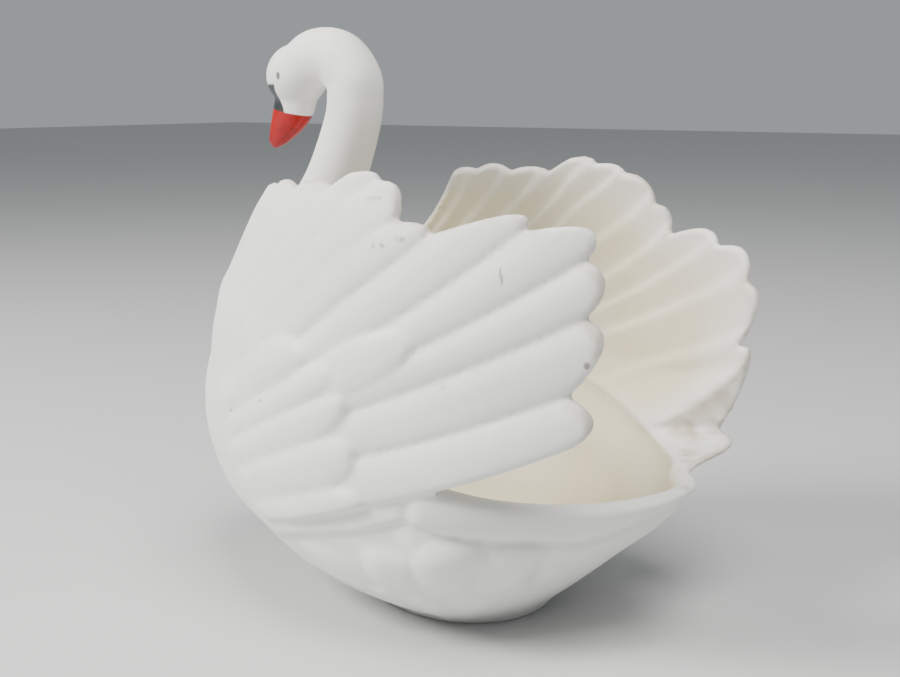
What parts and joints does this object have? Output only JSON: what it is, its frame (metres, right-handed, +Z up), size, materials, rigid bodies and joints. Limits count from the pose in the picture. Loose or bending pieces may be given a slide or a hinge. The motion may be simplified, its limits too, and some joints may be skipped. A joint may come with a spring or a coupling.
{
  "type": "swan figurine",
  "caption": "Unglazed porcelain swan whose hollow body is an open bowl between two raised feathered wings, standing on a flat foot.",
  "frame": {"origin": "on the flat foot's underside, at the centre of its round rear half", "axes": "+Z up from the foot, the swan looks along -Y, its left wing is on +X"},
  "size_m": [0.0848, 0.1126, 0.1153],
  "materials": {
    "bisque": "matt, unglazed"
  },
  "bodies": {
    "root": {"swan": "bisque"}
  },
  "joints": []
}
